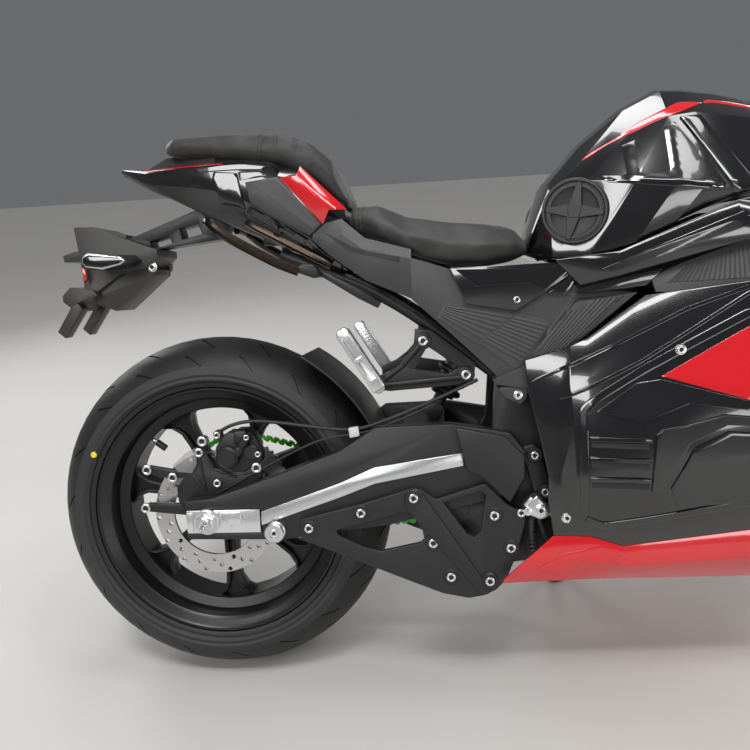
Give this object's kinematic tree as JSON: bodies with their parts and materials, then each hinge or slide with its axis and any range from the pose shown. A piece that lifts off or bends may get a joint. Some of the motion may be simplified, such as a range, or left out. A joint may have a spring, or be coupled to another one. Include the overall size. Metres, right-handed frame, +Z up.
{
  "type": "electric sport motorcycle",
  "caption": "Faired electric sport bike leaned on its side stand, with spoked wheels, split seat, chain drive, clip-on bars and a tail hanger.",
  "frame": {"origin": "on the floor, under the middle of the parked bike's bounding box", "axes": "+X is the way the bike drives, +Y is its left, +Z is up. The bike is stored as parked, leaned 10.6 degrees to the left on its side stand."},
  "size_m": [2.0124, 0.7646, 1.1415],
  "materials": {
    "tyre": "matt rubber",
    "rim_black": "satin black paint",
    "disc_steel": "ground steel",
    "silver_metal": "satin machined",
    "black_metal": "satin black paint",
    "bronze_metal": "satin bronze anodised",
    "chain_green": "neon green coating",
    "motor_metal": "cast, satin",
    "battery_case": "satin black",
    "matt_black_plastic": "fine grained",
    "brown_grey_plastic": "fine grained",
    "gloss_black": "gloss",
    "gloss_red": "gloss",
    "seat_vinyl": "grained vinyl",
    "smoked_screen": "smoked clear",
    "lamp_lens": "clear lens",
    "amber_lens": "amber lens",
    "hose_rubber": "matt"
  },
  "bodies": {
    "chassis": {"frame": "black_metal", "battery_block": "battery_case", "motor_housing": "motor_metal", "drive_sprocket": "disc_steel", "chain": "chain_green", "swingarm": "black_metal", "axle_blocks": "silver_metal", "rear_axle": "silver_metal", "paddock_spools": "silver_metal", "swingarm_strips": "silver_metal", "swingarm_guards": "matt_black_plastic", "pivot_covers": "matt_black_plastic", "rear_caliper": "black_metal", "hugger": "matt_black_plastic", "shock": "black_metal", "subframe": "black_metal", "tank": "gloss_black", "flank_caps": "matt_black_plastic", "rider_seat": "seat_vinyl", "passenger_seat": "seat_vinyl", "tail_shell": "gloss_black", "tail_side_panels": "matt_black_plastic", "tail_red_panels": "gloss_red", "side_covers": "matt_black_plastic", "seat_side_panels": "gloss_black", "tank_side_panels": "gloss_black", "side_fairings": "gloss_black", "ribbed_panels": "matt_black_plastic", "belly_pan": "gloss_red", "nose_fairing": "gloss_black", "headlights": "lamp_lens", "windscreen": "smoked_screen", "dashboard": "matt_black_plastic", "mirrors": "matt_black_plastic", "grab_rails": "bronze_metal", "plate_hanger": "black_metal", "plate_carrier": "brown_grey_plastic", "rear_signals": "amber_lens", "peg_brackets": "black_metal", "passenger_pegs": "silver_metal", "rearsets": "black_metal", "brake_hose": "hose_rubber"},
    "fork": {"fork_outer_tubes": "bronze_metal", "fork_sliders": "black_metal", "lower_clamp": "black_metal", "upper_clamp": "black_metal", "front_axle": "silver_metal", "front_calipers": "black_metal", "front_mudguard": "matt_black_plastic", "handlebars": "matt_black_plastic"},
    "front_wheel": {"front_tyre": "tyre", "front_rim": "rim_black", "front_discs": "disc_steel"},
    "rear_wheel": {"rear_tyre": "tyre", "rear_rim": "rim_black", "rear_disc": "disc_steel", "rear_sprocket": "disc_steel"},
    "side_stand": {"side_stand": "black_metal"}
  },
  "joints": [
    {"name": "rear_wheel_spin", "type": "hinge", "parent": "chassis", "child": "rear_wheel", "pos_m": [-0.69265, -0.12593, 0.31128], "axis": [0, 0.9829, -0.184], "continuous": true},
    {"name": "steering", "type": "hinge", "parent": "chassis", "child": "fork", "pos_m": [0.67459, -0.13154, 0.28126], "axis": [-0.4147, 0.1674, 0.8944], "range_deg": [-27, 27]},
    {"name": "front_wheel_spin", "type": "hinge", "parent": "fork", "child": "front_wheel", "pos_m": [0.70735, -0.1288, 0.29594], "axis": [0, 0.9829, -0.184], "continuous": true},
    {"name": "side_stand_fold", "type": "hinge", "parent": "chassis", "child": "side_stand", "pos_m": [-0.09265, -0.02575, 0.17248], "axis": [0, 0.9648, 0.263], "range_deg": [0, 95]}
  ]
}
